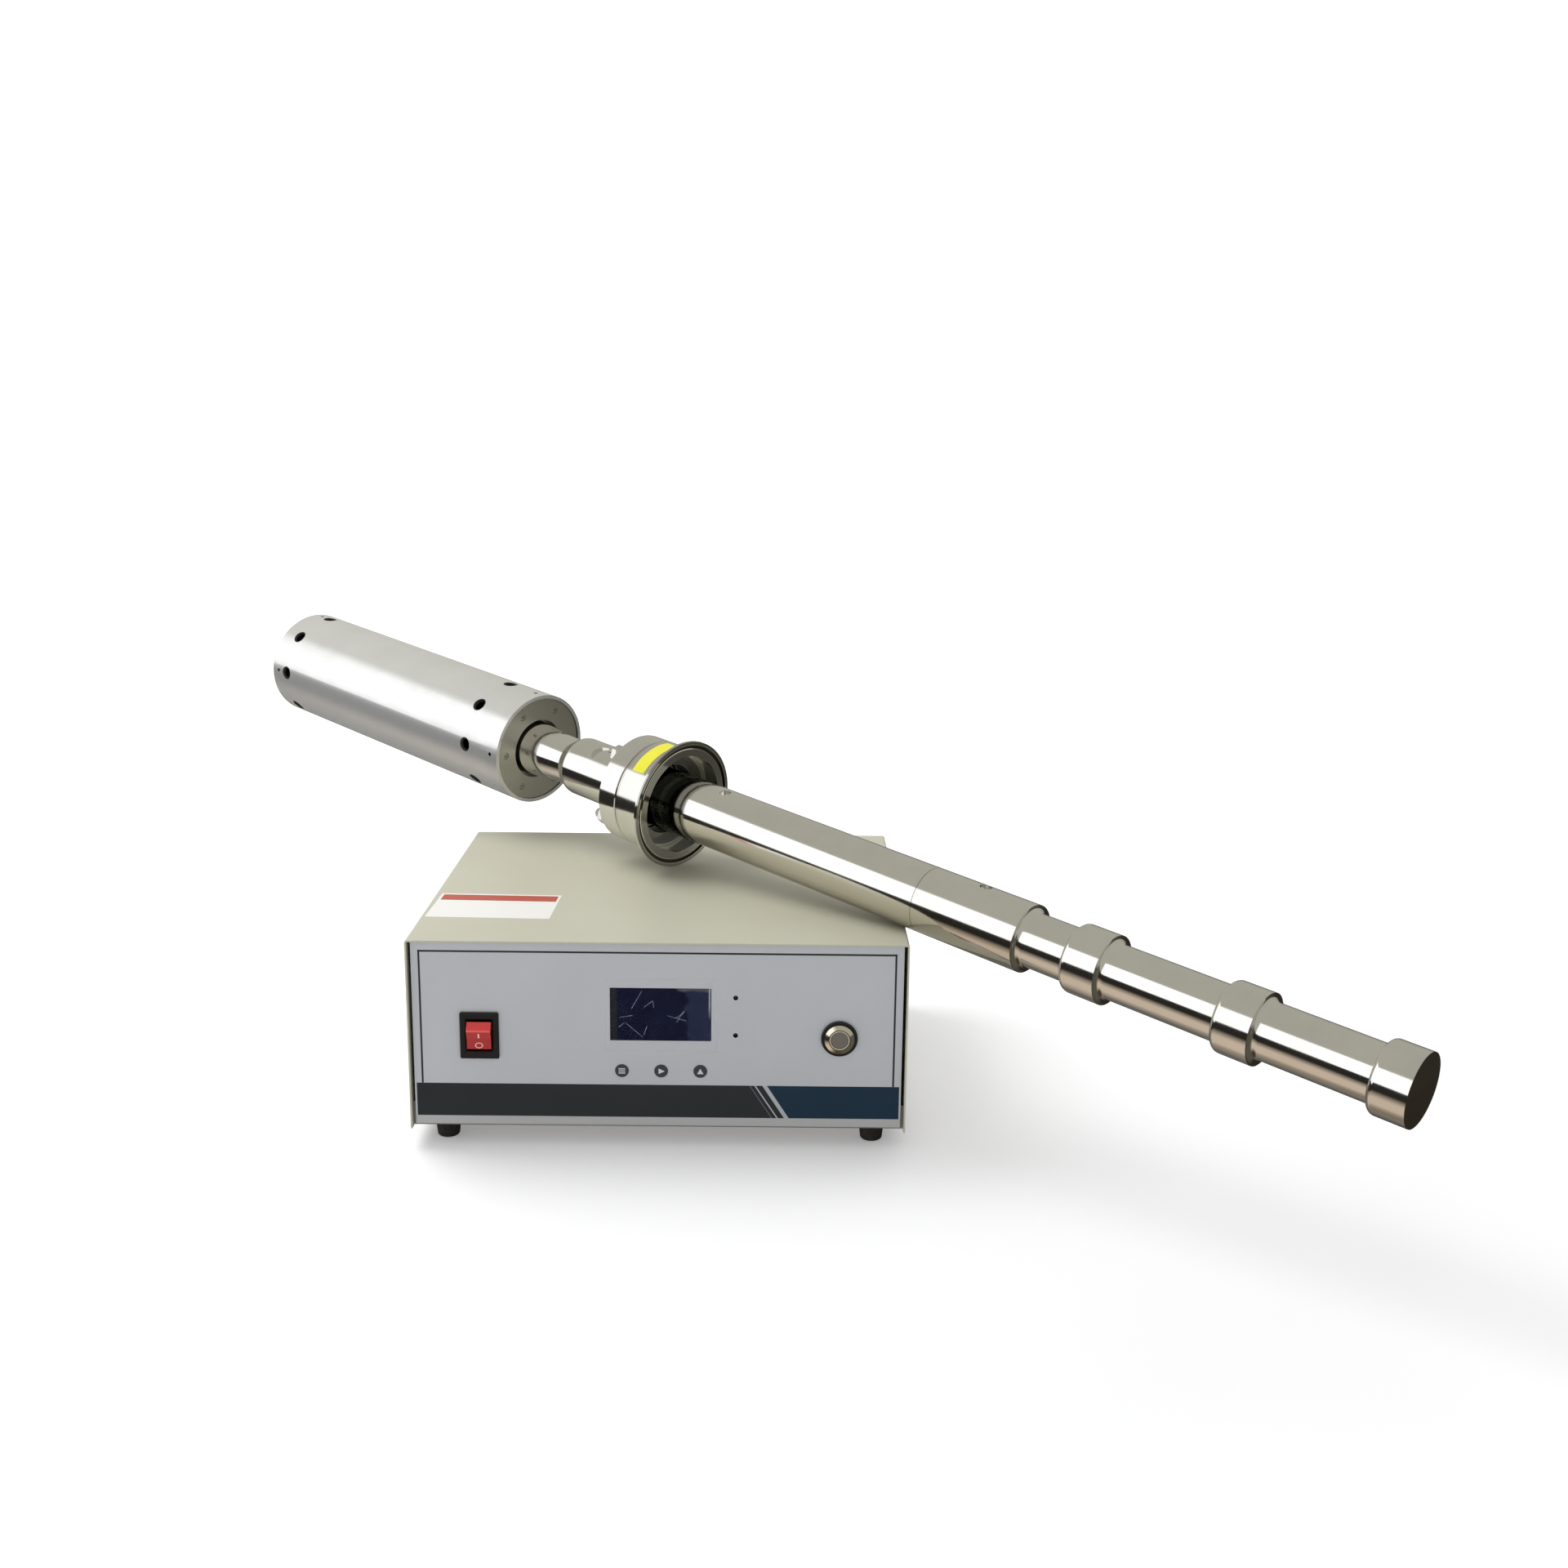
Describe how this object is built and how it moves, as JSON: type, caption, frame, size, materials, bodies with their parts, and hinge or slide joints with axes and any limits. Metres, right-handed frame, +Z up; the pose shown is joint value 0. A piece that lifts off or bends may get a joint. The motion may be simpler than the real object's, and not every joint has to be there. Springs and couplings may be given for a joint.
{
  "type": "probe sonicator",
  "caption": "Bench ultrasonic homogenizer: a sheet-metal generator with a display, keys and switches, and a long stepped probe with its transducer housing resting across the top.",
  "frame": {"origin": "under the middle of the whole outline, on the surface that the feet stand on", "axes": "+Z up, -Y out of the front panel, +X to the right of a viewer who faces the panel"},
  "size_m": [0.8984, 0.8052, 0.3189],
  "materials": {
    "cream_paint": "cream-white textured powder coat",
    "steel_sheet": "zinc-plated sheet",
    "panel_plate": "brushed",
    "panel_film": "printed silver-grey film",
    "black_plastic": "moulded",
    "dark_key": "moulded",
    "red_plastic": "moulded, translucent red",
    "chrome": "polished chrome plate",
    "clear_window": "tinted clear sheet",
    "circuit": "solder mask",
    "black_rubber": "moulded",
    "white_label": "blank stick-on film",
    "yellow_label": "blank stick-on film",
    "zinc_screw": "plated",
    "black_screw": "blackened",
    "brass": "plated",
    "anodised": "clear anodised, satin",
    "polished_rod": "polished and turned",
    "ceramic": "fired ceramic, stood in by plastic",
    "sink_metal": "black anodised",
    "winding": "taped copper winding",
    "can_sleeve": "shrink sleeve over aluminium",
    "seal": "moulded"
  },
  "bodies": {
    "case": {"case_cover": "cream_paint", "chassis_pan": "steel_sheet", "cover_screws": "zinc_screw", "rubber_feet": "black_rubber", "foot_screws": "zinc_screw", "front_panel": "panel_plate", "panel_film": "panel_film", "display_window": "clear_window", "display_module": "circuit", "control_board": "circuit", "board_standoffs": "brass", "indicator_lamps": "black_plastic", "switch_body": "black_plastic", "start_trim": "black_plastic", "start_head": "chrome", "start_nut": "zinc_screw", "cover_label": "white_label", "back_panel": "cream_paint", "fan_frame": "black_plastic", "fan_guard": "chrome", "fan_screws": "black_screw", "mains_inlet": "black_plastic", "inlet_prongs": "brass", "connector_screws": "zinc_screw", "fuse_holder": "black_plastic", "output_socket": "chrome", "output_insert": "black_plastic", "main_board": "circuit", "storage_capacitors": "can_sleeve", "heat_sink": "sink_metal", "power_transistors": "black_plastic", "toroid_transformer": "winding", "toroid_clamp": "steel_sheet"},
    "probe": {"housing_tube": "anodised", "front_cap": "anodised", "cap_screws": "black_screw", "back_cap": "anodised", "side_screws": "zinc_screw", "cable_socket": "chrome", "transducer_horn": "polished_rod", "ceramic_rings": "ceramic", "contact_plates": "brass", "back_mass": "polished_rod", "draw_bolt": "zinc_screw", "booster": "polished_rod", "hub_plate": "polished_rod", "node_seals": "seal", "flange_collar": "polished_rod", "hub_studs": "zinc_screw", "collar_label": "yellow_label", "extension_rod": "polished_rod", "probe_tip": "polished_rod", "coupling_studs": "zinc_screw"},
    "rocker": {"rocker": "red_plastic"},
    "start_plunger": {"start_plunger": "black_plastic"},
    "menu_key": {"menu_key": "dark_key"},
    "shift_key": {"shift_key": "dark_key"},
    "up_key": {"up_key": "dark_key"},
    "fan_rotor": {"fan_rotor": "black_plastic"}
  },
  "joints": [
    {"name": "probe_lift", "type": "slide", "parent": "case", "child": "probe", "axis": [0, 0, 1], "range_m": [0, 0.15]},
    {"name": "rocker_tilt", "type": "hinge", "parent": "case", "child": "rocker", "pos_m": [-0.16966, -0.17119, 0.0848], "axis": [-1, 0, 0], "range_deg": [0, 26]},
    {"name": "start_press", "type": "slide", "parent": "case", "child": "start_plunger", "axis": [0, 1, 0], "range_m": [0, 0.0025], "stiffness_N_per_m": 400},
    {"name": "menu_press", "type": "slide", "parent": "case", "child": "menu_key", "axis": [0, 1, 0], "range_m": [0, 0.0005], "stiffness_N_per_m": 800},
    {"name": "shift_press", "type": "slide", "parent": "case", "child": "shift_key", "axis": [0, 1, 0], "range_m": [0, 0.0005], "stiffness_N_per_m": 800},
    {"name": "up_press", "type": "slide", "parent": "case", "child": "up_key", "axis": [0, 1, 0], "range_m": [0, 0.0005], "stiffness_N_per_m": 800},
    {"name": "fan_spin", "type": "hinge", "parent": "case", "child": "fan_rotor", "pos_m": [0.06394, 0.11611, 0.0905], "axis": [0, 1, 0], "continuous": true}
  ]
}
